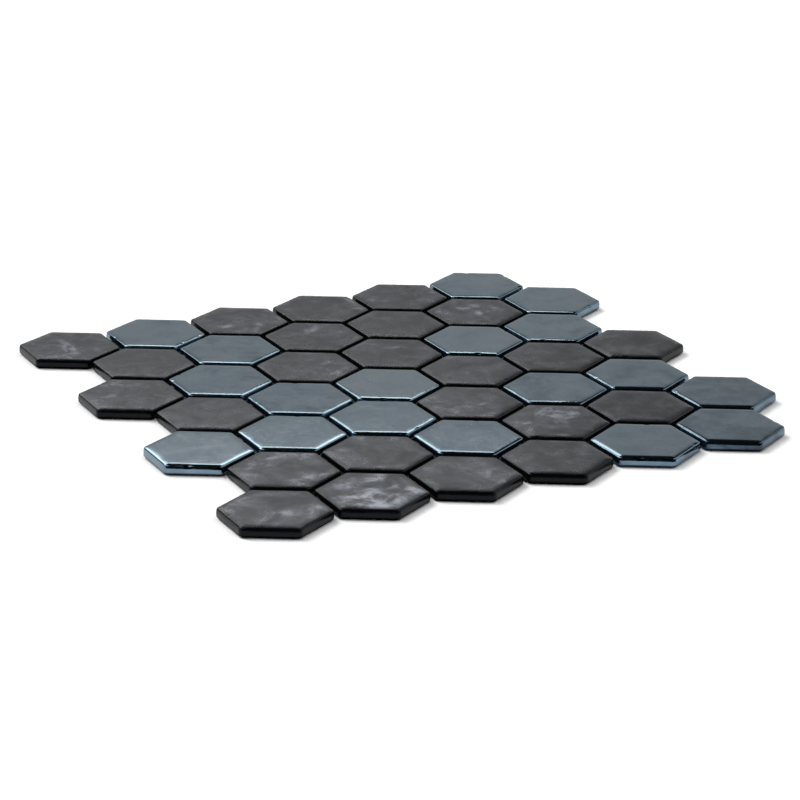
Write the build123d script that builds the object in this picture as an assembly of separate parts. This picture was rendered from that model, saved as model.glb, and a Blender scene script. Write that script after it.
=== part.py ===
"""Sheet of hexagonal glass mosaic tiles laid on an open backing net."""
import os
from math import floor, sqrt

from build123d import *

# Glass tile, in millimetres
ACROSS_FLATS = 44.3
TILE_THICKNESS = 4.6
DRAFT_HEIGHT = 1.9
DRAFT_ANGLE = 12
RIM_RADIUS = 0.6
FOOT_CHAMFER = 1.0
CORNER_BLUNT = 0.45

# Laying pattern, front row first: M is a matte tile, I is an iridescent one
JOINT_WIDTH = 2.0
ROW_FINISHES = (
    "MMMMII",
    "MMIMMI",
    "IIIMII",
    "MIIMMM",
    "MIMMII",
    "MIMMMI",
    "MIMMMI",
)
FINISH_NAMES = {"M": "matte", "I": "iridescent"}

# Backing net of flat threads, one layer crossing the other
THREAD_WIDTH = 1.2
THREAD_THICKNESS = 0.2
THREAD_PITCH = 10.0
NET_INSET = 3.0

# Sizes that follow from the ones above
ROWS = len(ROW_FINISHES)
TILES_PER_ROW = len(ROW_FINISHES[0])
TILE_PITCH = ACROSS_FLATS + JOINT_WIDTH
ROW_PITCH = TILE_PITCH * sqrt(3) / 2
CORNER_DISTANCE = ACROSS_FLATS / sqrt(3)
ROW_SHIFT = TILE_PITCH / 2
FIRST_TILE_X = -(TILES_PER_ROW - 1) * TILE_PITCH / 2 - ROW_SHIFT / 2
FIRST_ROW_Y = -(ROWS - 1) * ROW_PITCH / 2
TILE_BASE = 2 * THREAD_THICKNESS
NET_HALF_X = -FIRST_TILE_X - ROW_SHIFT + ACROSS_FLATS / 2 - NET_INSET
NET_HALF_Y = -FIRST_ROW_Y + CORNER_DISTANCE / 2 - NET_INSET


def hexagon(inner_radius, turn):
    """Hexagon with the given distance from its centre to a flat."""
    return RegularPolygon(inner_radius, 6, major_radius=False, rotation=turn)


def make_blank(inner_radius, turn):
    """Hexagonal block with an upright wall below and a leaning wall above."""
    wall_height = TILE_THICKNESS - DRAFT_HEIGHT
    wall = extrude(hexagon(inner_radius, turn), wall_height)
    lean = extrude(hexagon(inner_radius, turn), DRAFT_HEIGHT, taper=DRAFT_ANGLE)
    return wall + Pos(0, 0, wall_height) * lean


def make_tile():
    """One cast tile: blunt corners, rounded rim, bevelled foot."""
    tile = make_blank(ACROSS_FLATS / 2, 30) & make_blank(CORNER_DISTANCE - CORNER_BLUNT, 0)
    tile = fillet(tile.faces().sort_by(Axis.Z)[-1].edges(), RIM_RADIUS)
    return chamfer(tile.faces().sort_by(Axis.Z)[0].edges(), FOOT_CHAMFER)


def make_threads(along_x, base):
    """Parallel threads that make one layer of the net."""
    run, spread = (NET_HALF_X, NET_HALF_Y) if along_x else (NET_HALF_Y, NET_HALF_X)
    last = floor((spread - THREAD_WIDTH / 2) / THREAD_PITCH)
    size = (2 * run, THREAD_WIDTH) if along_x else (THREAD_WIDTH, 2 * run)
    low_edge = (Align.CENTER, Align.CENTER, Align.MIN)
    threads = []
    for step in range(-last, last + 1):
        offset = step * THREAD_PITCH
        place = Pos(0, offset, base) if along_x else Pos(offset, 0, base)
        threads.append(place * Box(*size, THREAD_THICKNESS, align=low_edge))
    return Compound(children=threads)


def save(shape, node):
    """Write one node of the sheet to its own file."""
    export_step(shape, os.path.join("parts", node + ".step"))


os.makedirs("parts", exist_ok=True)

tile = make_tile()
for row, finishes in enumerate(ROW_FINISHES):
    for column, finish in enumerate(finishes):
        x = FIRST_TILE_X + column * TILE_PITCH + (row % 2) * ROW_SHIFT
        y = FIRST_ROW_Y + row * ROW_PITCH
        node = f"{FINISH_NAMES[finish]}_tile_r{row + 1}_c{column + 1}"
        save(Pos(x, y, TILE_BASE) * tile, node)

save(make_threads(False, 0), "net_warp")
save(make_threads(True, THREAD_THICKNESS), "net_weft")
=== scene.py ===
"""Looks of a hexagon glass mosaic sheet: cast tiles in two finishes on a dark backing net."""
import math
import random

import bpy
from mathutils import Matrix, Vector, noise


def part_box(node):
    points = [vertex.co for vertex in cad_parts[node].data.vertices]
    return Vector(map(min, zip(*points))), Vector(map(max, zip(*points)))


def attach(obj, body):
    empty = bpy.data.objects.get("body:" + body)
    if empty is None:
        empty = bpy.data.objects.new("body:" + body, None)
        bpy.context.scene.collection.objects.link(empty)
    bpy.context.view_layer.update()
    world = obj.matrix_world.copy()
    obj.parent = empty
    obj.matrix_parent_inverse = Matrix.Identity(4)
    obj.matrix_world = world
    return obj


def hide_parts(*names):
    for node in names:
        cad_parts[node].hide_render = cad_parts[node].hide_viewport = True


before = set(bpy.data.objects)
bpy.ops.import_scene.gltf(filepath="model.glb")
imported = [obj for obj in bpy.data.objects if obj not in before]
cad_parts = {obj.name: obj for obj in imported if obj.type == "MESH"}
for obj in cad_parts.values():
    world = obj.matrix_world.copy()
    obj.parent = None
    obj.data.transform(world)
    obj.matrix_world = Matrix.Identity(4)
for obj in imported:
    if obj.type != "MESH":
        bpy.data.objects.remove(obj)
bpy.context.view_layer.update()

MM = 0.001
SQRT3 = math.sqrt(3)
UP = Vector((0, 0, 1))

# Tile form, in millimetres; the crown's rise is a share of its drop
CORNER_RADIUS = 2.8
SMALLEST_RADIUS = 0.2
DRAFT_HEIGHT = 1.9
DRAFT_ANGLE = math.radians(12)
RIM_RADIUS = 0.6
CROWN_WIDTHS = {"matte_glass": 4.4, "iridescent_glass": 2.8}
CROWN_ANGLES = {"matte_glass": math.radians(11), "iridescent_glass": math.radians(9)}
CROWN_RISE = 0.3
FOOT_RADIUS = 1.0

# Mesh of a tile: steps along each curve, rings beside the bend in its wall
CORNER_STEPS = 7
SIDE_STEPS = 24
RIM_STEPS = 8
FOOT_STEPS = 4
CROWN_STEPS = 6
TOP_RINGS = 10
RINGS_BELOW_BEND = (-1.0, -0.3, -0.1)
RINGS_ABOVE_BEND = (0.1, 0.3)

# Unevenness of cast glass, in millimetres; the tilt is a slope, the noise scales are per millimetre
TILT = 0.0035
WAVE_SCALE = 0.11
RIPPLE_SCALE = 0.45
NOISE_SPAN = 90
FACE_WAVE = 0.045
FACE_SINK = 0.03
SIDE_WAVE = 0.08
SIDE_RIPPLE = 0.03
SIDE_SINK = 0.06

# Nicks in the rims, in millimetres; the spread is a share of the tile's half width
NICK_COUNTS = {"matte_glass": (0, 1), "iridescent_glass": (1, 3)}
NICK_REACH = (0.8, 1.3)
NICK_DEPTH = (0.1, 0.3)
NICK_INSET = 0.7
NICK_DROP = 0.3
NICK_SPREAD = 0.45

# Finish: first seed of each kind of tile, film thickness in nanometres, share of smoke
FIRST_SEEDS = {"matte_glass": 11, "iridescent_glass": 211}
COAT_RANGE = (28.0, 36.0)
COATED = {"r3_c1": 40.0, "r3_c2": 37.0, "r4_c3": 41.0, "r3_c5": 27.0, "r1_c6": 25.0, "r2_c6": 23.0}
SMOKE_RANGE = (0.38, 1.0)
STREAKED = {"r1_c1": 1.1, "r1_c2": 2.0, "r2_c1": 1.2, "r7_c1": 1.0}

# Studio and camera, in metres and degrees
FLOOR_REACH = 6.0
FLOOR_DROP = 0.0002
STUDIO_AZIMUTH = 62.3
BACKDROP_STRENGTH = 0.545
LEFT_CEILING_STRENGTH = 1.4
RIGHT_CEILING_STRENGTH = 1.5
CAMERA_AZIMUTH = 62.233
CAMERA_ELEVATION = 19.769
CAMERA_ROLL = 0.548
CAMERA_PLACE = (-0.57801, -1.08900, 0.43784)
CAMERA_LENS = 122.287


def heading(azimuth, elevation):
    """Unit vector at an azimuth from +X and an elevation, both in degrees."""
    turn, rise = math.radians(azimuth), math.radians(elevation)
    return Vector((math.cos(turn) * math.cos(rise), math.sin(turn) * math.cos(rise), math.sin(rise)))


def polar(radius, angle):
    """Flat vector of the given length and angle."""
    return Vector((radius * math.cos(angle), radius * math.sin(angle)))


def rounded_hexagon(apothem, radius):
    """Points of a hexagon with flats facing X, corner arcs of the given radius."""
    points = []
    reach = (apothem - radius) * 2 / SQRT3
    for corner in range(6):
        middle = math.radians(30 + 60 * corner)
        centre = polar(reach, middle)
        for step in range(CORNER_STEPS):
            angle = middle + math.radians(-30 + 60 * step / (CORNER_STEPS - 1))
            points.append(centre + polar(radius, angle))
        next_centre = polar(reach, middle + math.radians(60))
        outward = polar(radius, middle + math.radians(30))
        for step in range(1, SIDE_STEPS):
            points.append(centre.lerp(next_centre, step / SIDE_STEPS) + outward)
    return points


def section(height, crown_width, crown_angle):
    """Inset and height of each ring up the side of a tile, from the foot to the flat top."""
    rings = []
    for step in range(FOOT_STEPS + 1):
        angle = math.pi / 2 * step / FOOT_STEPS
        rings.append((FOOT_RADIUS * (1 - math.sin(angle)), FOOT_RADIUS * (1 - math.cos(angle))))
    slope = math.tan(DRAFT_ANGLE)
    bend = height - DRAFT_HEIGHT
    for offset in RINGS_BELOW_BEND:
        rings.append((0.0, bend + offset))
    for offset in RINGS_ABOVE_BEND:
        rings.append((offset * slope, bend + offset))
    drop = crown_width * math.tan(crown_angle) / 2
    crest = height + CROWN_RISE * drop
    last_angle = math.pi / 2 - crown_angle
    rim_z = crest - drop - RIM_RADIUS * math.sin(last_angle)
    rim_start = rim_z + RIM_RADIUS * math.sin(DRAFT_ANGLE)
    rim_inset = (rim_start - bend) * slope + RIM_RADIUS * math.cos(DRAFT_ANGLE)
    for step in range(RIM_STEPS + 1):
        angle = DRAFT_ANGLE + (last_angle - DRAFT_ANGLE) * step / RIM_STEPS
        rings.append((rim_inset - RIM_RADIUS * math.cos(angle), rim_z + RIM_RADIUS * math.sin(angle)))
    edge = rings[-1][0]
    for step in range(1, CROWN_STEPS + 1):
        share = step / CROWN_STEPS
        rings.append((edge + crown_width * share, crest - drop * (1 - share) ** 2))
    return rings


def tile_rings(apothem, height, slot):
    """Rings of points over a tile, from its foot to the last one on its face."""
    rings = []
    for inset, z in section(height, CROWN_WIDTHS[slot], CROWN_ANGLES[slot]):
        outline = rounded_hexagon(apothem - inset, max(CORNER_RADIUS - inset, SMALLEST_RADIUS))
        rings.append([Vector((point.x, point.y, z)) for point in outline])
    face_edge = rings[-1]
    for step in range(1, TOP_RINGS):
        share = 1 - step / TOP_RINGS
        rings.append([Vector((point.x * share, point.y * share, point.z)) for point in face_edge])
    return rings


def tile_faces(ring_count, ring_size):
    """Faces of a tile: its back, the bands between rings, the fan in the middle of its face."""
    faces = [tuple(range(ring_size - 1, -1, -1))]
    for ring in range(ring_count - 1):
        low, high = ring * ring_size, (ring + 1) * ring_size
        for step in range(ring_size):
            after = (step + 1) % ring_size
            faces.append((low + step, low + after, high + after, high + step))
    top, middle = (ring_count - 1) * ring_size, ring_count * ring_size
    for step in range(ring_size):
        faces.append((top + step, top + (step + 1) % ring_size, middle))
    return faces


def make_nick(rng, apothem, height):
    """Place, reach and depth of a small chip in the rim of a tile."""
    side = math.radians(60 * rng.randrange(6))
    along_side = rng.uniform(-NICK_SPREAD, NICK_SPREAD) * apothem
    spot = polar(apothem - NICK_INSET, side) + polar(along_side, side + math.pi / 2)
    place = Vector((spot.x, spot.y, height - NICK_DROP))
    return place, rng.uniform(*NICK_REACH), rng.uniform(*NICK_DEPTH)


def uneven(point, apothem, height, tilt, shift, nicks):
    """A point of the tile moved by the tilt, waves and nicks of cast glass."""
    wave = noise.noise(point * WAVE_SCALE + shift)
    ripple = noise.noise(point * RIPPLE_SCALE + shift)
    lift = point.z / height * (tilt.dot(point.xy) + FACE_WAVE * wave - FACE_SINK)
    nearness = min(1.0, point.xy.length / apothem) ** 4
    push = (SIDE_WAVE * wave + SIDE_RIPPLE * ripple - SIDE_SINK) * nearness
    for place, reach, depth in nicks:
        bite = depth * max(0.0, 1 - ((point - place).length / reach) ** 2)
        push -= bite
        lift -= bite / 2
    outward = point.xy.normalized()
    return point + Vector((outward.x * push, outward.y * push, lift))


def make_tile(node, slot, seed, material):
    """A cast tile in the place of its CAD solid."""
    low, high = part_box(node)
    centre = (low + high) / 2
    apothem = (high.x - low.x) / 2 / MM
    height = (high.z - low.z) / MM
    rng = random.Random(seed)
    tilt = Vector([rng.uniform(-1, 1) for _ in range(2)]) * TILT
    shift = Vector([rng.uniform(0, NOISE_SPAN) for _ in range(3)])
    nicks = [make_nick(rng, apothem, height) for _ in range(rng.randint(*NICK_COUNTS[slot]))]
    rings = tile_rings(apothem, height, slot)
    ring_size = len(rings[0])
    vertices = []
    for ring in rings:
        vertices += [uneven(point, apothem, height, tilt, shift, nicks) * MM for point in ring]
    vertices.append(sum(vertices[-ring_size:], Vector()) / ring_size)
    name = node + "_glass"
    mesh = bpy.data.meshes.new(name)
    mesh.from_pydata(vertices, [], tile_faces(len(rings), ring_size))
    mesh.polygons.foreach_set("use_smooth", [True] * len(mesh.polygons))
    mesh.update()
    mesh.materials.append(material)
    tile = bpy.data.objects.new(name, mesh)
    bpy.context.scene.collection.objects.link(tile)
    tile.location = (centre.x, centre.y, low.z)
    row_and_column = node[-5:]
    tile["seed"] = float(seed)
    tile["smoke"] = STREAKED.get(row_and_column, rng.uniform(*SMOKE_RANGE))
    tile["coat"] = COATED.get(row_and_column, rng.uniform(*COAT_RANGE))
    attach(tile, "root")
    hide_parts(node)


class Nodes:
    """Short hand for building a node tree."""

    def __init__(self, tree):
        self.tree = tree
        tree.nodes.clear()

    def add(self, kind, values=None, **settings):
        """New node with the given settings and socket values."""
        node = self.tree.nodes.new(kind)
        for key, value in settings.items():
            setattr(node, key, value)
        for key, value in (values or {}).items():
            node.inputs[key].default_value = value
        return node

    def feed(self, value, socket):
        """Give a socket a plain value or another node's output."""
        if isinstance(value, bpy.types.NodeSocket):
            self.tree.links.new(value, socket)
        else:
            socket.default_value = value

    def combine(self, operation, first, second):
        """Result of an arithmetic operation on two values."""
        node = self.add("ShaderNodeMath", operation=operation)
        self.feed(first, node.inputs[0])
        self.feed(second, node.inputs[1])
        return node.outputs["Value"]

    def pick(self, factor, low, high, kind="FLOAT"):
        """Blend from low to high."""
        node = self.add("ShaderNodeMix", data_type=kind)
        ends = [socket for socket in node.inputs if socket.enabled]
        for socket, value in zip(ends, (factor, low, high)):
            self.feed(value, socket)
        return next(socket for socket in node.outputs if socket.enabled)

    def spread(self, source, start, end, low=0.0, high=1.0, **settings):
        """Value that goes from low to high as the source goes from start to end."""
        limits = {"From Min": start, "From Max": end, "To Min": low, "To Max": high}
        node = self.add("ShaderNodeMapRange", limits, **settings)
        self.feed(source, node.inputs["Value"])
        return node.outputs["Result"]

    def ramp(self, source, *stops):
        """Greys or colours along a value, from pairs of place and colour."""
        node = self.add("ShaderNodeValToRGB")
        ramp = node.color_ramp
        ramp.elements[0].position, ramp.elements[1].position = stops[0][0], stops[-1][0]
        for place, _ in stops[1:-1]:
            ramp.elements.new(place)
        for element, (place, colour) in zip(ramp.elements, stops):
            element.position = place
            element.color = (*colour, 1) if isinstance(colour, tuple) else (colour, colour, colour, 1)
        self.feed(source, node.inputs["Fac"])
        return node.outputs["Color"]


def new_material(name):
    """Empty material and its node tree."""
    material = bpy.data.materials.new(name)
    material.use_nodes = True
    return material, Nodes(material.node_tree)


def principled(n, values):
    """Principled surface with the given values."""
    shader = n.add("ShaderNodeBsdfPrincipled", values)
    n.feed(shader.outputs["BSDF"], n.add("ShaderNodeOutputMaterial").inputs["Surface"])
    return shader


def facing_up(n, start, end):
    """Share from 0 to 1 as the upward part of the normal goes from start to end."""
    parts = n.add("ShaderNodeSeparateXYZ")
    n.feed(n.add("ShaderNodeNewGeometry").outputs["Normal"], parts.inputs["Vector"])
    return n.spread(parts.outputs["Z"], start, end)


def tile_value(n, name):
    """A value that each tile holds for itself."""
    return n.add("ShaderNodeAttribute", attribute_type="OBJECT", attribute_name=name).outputs["Fac"]


def tile_noise(n, scale, detail, distortion):
    """Noise fixed to the tile, different on each one."""
    values = {"Scale": scale, "Detail": detail, "Roughness": 0.6, "Distortion": distortion}
    node = n.add("ShaderNodeTexNoise", values, noise_dimensions="4D")
    n.feed(n.add("ShaderNodeTexCoord").outputs["Object"], node.inputs["Vector"])
    n.feed(tile_value(n, "seed"), node.inputs["W"])
    return node.outputs["Fac"]


def grain(n, scale, detail):
    """Fine noise, the same on each piece."""
    node = n.add("ShaderNodeTexNoise", {"Scale": scale, "Detail": detail})
    n.feed(n.add("ShaderNodeTexCoord").outputs["Object"], node.inputs["Vector"])
    return node.outputs["Fac"]


def relief(n, shader, height, strength, distance):
    """Fine relief of a surface."""
    node = n.add("ShaderNodeBump", {"Distance": distance})
    n.feed(strength, node.inputs["Strength"])
    n.feed(height, node.inputs["Height"])
    n.feed(node.outputs["Normal"], shader.inputs["Normal"])


def above_foot(n):
    """0 on the rounded foot of a tile, where shade from the floor beneath is painted in, 1 on its wall
    and face.
    """
    return facing_up(n, -0.3, -0.06)


def matte_glass():
    """Smoky black glass with an etched face and pale cloudy streaks."""
    material, n = new_material("matte_glass")
    shader = principled(n, {"IOR": 1.5, "Specular Tint": (0.78, 0.87, 1, 1)})
    etched = facing_up(n, 0.96, 0.995)
    flat = facing_up(n, 0.985, 0.9995)
    cloud = tile_noise(n, 60.0, 5.0, 0.8)
    wisp = tile_noise(n, 100.0, 4.5, 0.9)
    thin = n.ramp(wisp, (0.38, 0.0), (0.7, 1.0))
    broad = n.ramp(cloud, (0.38, 0.1), (0.62, 1.0))
    streak = n.combine("MULTIPLY", thin, broad)
    veil = n.combine("MULTIPLY", streak, tile_value(n, "smoke"))
    clear, hazy, milky = (0.003, 0.004, 0.006), (0.03, 0.034, 0.042), (0.22, 0.24, 0.28)
    smoke = n.ramp(veil, (0.0, clear), (0.3, hazy), (1.0, milky))
    black = (0.002, 0.002, 0.0022, 1)
    # The pale cloud is the glass's own, but it stops off the flat face, so the rolled rim shows bare
    # black glass as painted shade.
    n.feed(n.pick(flat, black, smoke, "RGBA"), shader.inputs["Base Color"])
    frost = n.ramp(cloud, (0.34, 0.38), (0.66, 0.2))
    n.feed(n.pick(etched, 0.13, frost), shader.inputs["Roughness"])
    # Painted shade: the gloss falls to nothing on the rounded foot, standing in for the shadowed floor
    # under it.
    gloss = n.combine("MULTIPLY", above_foot(n), n.pick(etched, 0.14, 0.26))
    n.feed(gloss, shader.inputs["Specular IOR Level"])
    relief(n, shader, grain(n, 2600.0, 2.0), 0.12, 0.0002)
    return material


def iridescent_glass():
    """Dark glass under a satin metal-oxide film, bluer on the walls and rims than on the face."""
    material, n = new_material("iridescent_glass")
    shader = principled(n, {"IOR": 1.5, "Thin Film IOR": 2.2})
    face = facing_up(n, 0.9965, 0.9997)
    drift = n.spread(tile_noise(n, 70.0, 7.0, 0.5), 0.3, 0.7, -9.0, 9.0)
    film = n.combine("ADD", tile_value(n, "coat"), drift)
    n.feed(film, shader.inputs["Thin Film Thickness"])
    # The first tint is painted shade on the rounded foot; the others are the film's hue on walls, rims
    # and face.
    painted_foot_shade, wall_tint = (0.02, 0.03, 0.04, 1), (0.74, 0.89, 1, 1)
    rim_tint, face_tint = (0.76, 0.955, 1, 1), (0.86, 0.955, 1, 1)
    upper = n.pick(face, rim_tint, face_tint, "RGBA")
    side = n.pick(facing_up(n, 0.3, 0.8), wall_tint, upper, "RGBA")
    # Painted shade: a near-black reflection tint on the rounded foot stands in for its contact shadow.
    n.feed(n.pick(above_foot(n), painted_foot_shade, side, "RGBA"), shader.inputs["Specular Tint"])
    wall_glass, face_glass = (0.003, 0.005, 0.007, 1), (0.008, 0.013, 0.019, 1)
    n.feed(n.pick(face, wall_glass, face_glass, "RGBA"), shader.inputs["Base Color"])
    satin = n.ramp(tile_noise(n, 400.0, 4.0, 0.0), (0.3, 0.09), (0.7, 0.2))
    n.feed(n.pick(face, 0.1, satin), shader.inputs["Roughness"])
    relief(n, shader, grain(n, 2000.0, 2.0), n.pick(face, 0.02, 0.08), 0.0003)
    return material


def net_thread():
    """Dark coated glass-fibre yarn."""
    material, n = new_material("net_thread")
    shader = principled(n, {"Roughness": 0.7})
    n.feed(n.ramp(grain(n, 900.0, 3.0), (0.3, 0.008), (0.7, 0.035)), shader.inputs["Base Color"])
    return material


def background_ray(n):
    """1 for rays that show the white background, straight from the camera or by way of gloss or glass."""
    path = n.add("ShaderNodeLightPath")
    mirrored = n.combine("MAXIMUM", path.outputs["Is Glossy Ray"], path.outputs["Is Transmission Ray"])
    return n.combine("MAXIMUM", path.outputs["Is Camera Ray"], mirrored)


def floor_white():
    """White table; the added white leaves out the nook beside and between the tiles, which paints shade
    into that nook.
    """
    material, n = new_material("floor_white")
    paper = n.add("ShaderNodeBsdfDiffuse", {"Color": (0.9, 0.9, 0.9, 1)})
    nook = n.add("ShaderNodeAmbientOcclusion", {"Distance": 0.0035}, samples=8)
    # Painted shade: no added white where the nook is occluded, on top of the paper's own shadow.
    open_floor = n.ramp(nook.outputs["AO"], (0.3, 0.0), (0.7, 0.1))
    white = n.add("ShaderNodeEmission", {"Color": (1, 1, 1, 1)})
    n.feed(n.combine("MULTIPLY", open_floor, background_ray(n)), white.inputs["Strength"])
    both = n.add("ShaderNodeAddShader")
    n.feed(paper.outputs["BSDF"], both.inputs[0])
    n.feed(white.outputs["Emission"], both.inputs[1])
    n.feed(both.outputs["Shader"], n.add("ShaderNodeOutputMaterial").inputs["Surface"])
    return material


def make_floor():
    """Wide floor just under the sheet."""
    mesh = bpy.data.meshes.new("floor")
    corners = [(-1, -1), (1, -1), (1, 1), (-1, 1)]
    mesh.from_pydata([(FLOOR_REACH * x, FLOOR_REACH * y, 0) for x, y in corners], [], [(0, 1, 2, 3)])
    mesh.materials.append(floor_white())
    floor = bpy.data.objects.new("floor", mesh)
    floor.location.z = -FLOOR_DROP
    bpy.context.scene.collection.objects.link(floor)


def along(n, axis):
    """How far a ray of the world points along an axis."""
    node = n.add("ShaderNodeVectorMath", {1: axis}, operation="DOT_PRODUCT")
    n.feed(n.add("ShaderNodeTexCoord").outputs["Generated"], node.inputs[0])
    return node.outputs["Value"]


def fade(n, value, start, end, top=1.0):
    """Smooth step from 0 at start to top at end."""
    return n.spread(value, start, end, 0.0, top, interpolation_type="SMOOTHSTEP")


def make_world(behind, right):
    """White to the camera; a pale backdrop in reflections, a lit ceiling to each side, dark in front."""
    world = bpy.data.worlds.new("studio")
    bpy.context.scene.world = world
    world.use_nodes = True
    n = Nodes(world.node_tree)
    back, side, high = along(n, behind), along(n, right), along(n, UP)
    low_back = fade(n, high, 0.46, 0.40)
    backdrop = n.combine("MULTIPLY", fade(n, back, 0.55, 0.8, BACKDROP_STRENGTH), low_back)
    left_side = fade(n, side, -0.12, -0.3, LEFT_CEILING_STRENGTH)
    left_ceiling = n.combine("MULTIPLY", left_side, fade(n, high, 0.42, 0.56))
    right_side = fade(n, side, 0.26, 0.46, RIGHT_CEILING_STRENGTH)
    right_ceiling = n.combine("MULTIPLY", right_side, fade(n, high, 0.3, 0.45))
    lit = n.add("ShaderNodeBackground", {"Color": (1, 1, 1, 1)})
    n.feed(n.combine("ADD", left_ceiling, right_ceiling), lit.inputs["Strength"])
    white = n.add("ShaderNodeBackground", {"Color": (1, 1, 1, 1), "Strength": 1.0})
    mirrored = n.combine("MULTIPLY", background_ray(n), backdrop)
    camera_ray = n.add("ShaderNodeLightPath").outputs["Is Camera Ray"]
    mix = n.add("ShaderNodeMixShader")
    n.feed(n.combine("MAXIMUM", camera_ray, mirrored), mix.inputs["Fac"])
    n.feed(lit.outputs["Background"], mix.inputs[1])
    n.feed(white.outputs["Background"], mix.inputs[2])
    n.feed(mix.outputs["Shader"], n.add("ShaderNodeOutputWorld").inputs["Surface"])


def make_window(name, azimuth, elevation, spread, strength):
    """Broad even light from one side, as from a large diffuser."""
    light = bpy.data.lights.new(name, "SUN")
    light.angle = math.radians(spread)
    light.energy = strength
    lamp = bpy.data.objects.new(name, light)
    lamp.rotation_mode = "QUATERNION"
    lamp.rotation_quaternion = heading(azimuth, elevation).to_track_quat("Z", "Y")
    bpy.context.scene.collection.objects.link(lamp)


def make_strip(name, behind, right, distance, span, heights, radiance):
    """Long narrow light behind the sheet, facing the camera."""
    light = bpy.data.lights.new(name, "AREA")
    light.shape = "RECTANGLE"
    light.size = span[1] - span[0]
    light.size_y = heights[1] - heights[0]
    light.energy = radiance * math.pi * light.size * light.size_y
    lamp = bpy.data.objects.new(name, light)
    lamp.location = right * sum(span) / 2 + behind * distance + UP * sum(heights) / 2
    lamp.rotation_mode = "QUATERNION"
    turn = Matrix((right, UP, -behind)).transposed()
    lamp.rotation_quaternion = (turn @ Matrix.Rotation(math.pi, 3, "Y")).to_quaternion()
    bpy.context.scene.collection.objects.link(lamp)


def make_camera():
    """Camera of the photographed view."""
    data = bpy.data.cameras.new("camera")
    data.sensor_width = 36
    data.lens = CAMERA_LENS
    forward = heading(CAMERA_AZIMUTH, -CAMERA_ELEVATION)
    level = forward.cross(UP).normalized()
    roll = math.radians(CAMERA_ROLL)
    right = level * math.cos(roll) + level.cross(forward) * math.sin(roll)
    matrix = Matrix((right, right.cross(forward), -forward)).transposed().to_4x4()
    matrix.translation = CAMERA_PLACE
    camera = bpy.data.objects.new("camera", data)
    camera.matrix_world = matrix
    bpy.context.scene.collection.objects.link(camera)
    bpy.context.scene.camera = camera


# Tiles and net
materials = {"matte_glass": matte_glass(), "iridescent_glass": iridescent_glass()}
thread = net_thread()
for index, node in enumerate(sorted(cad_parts)):
    if node.startswith("net"):
        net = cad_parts[node]
        net.data.materials.clear()
        net.data.materials.append(thread)
    else:
        slot = node.split("_")[0] + "_glass"
        make_tile(node, slot, FIRST_SEEDS[slot] + index, materials[slot])

# Studio
behind = heading(STUDIO_AZIMUTH, 0)
right = Vector((behind.y, -behind.x, 0))
make_floor()
make_world(behind, right)
make_window("key", azimuth=120, elevation=48, spread=36, strength=2.0)
make_strip("strip", behind, right, distance=0.95, span=(-0.70, 0.14), heights=(0.50, 0.62), radiance=4.2)
make_camera()
bpy.context.scene.view_settings.view_transform = "Standard"
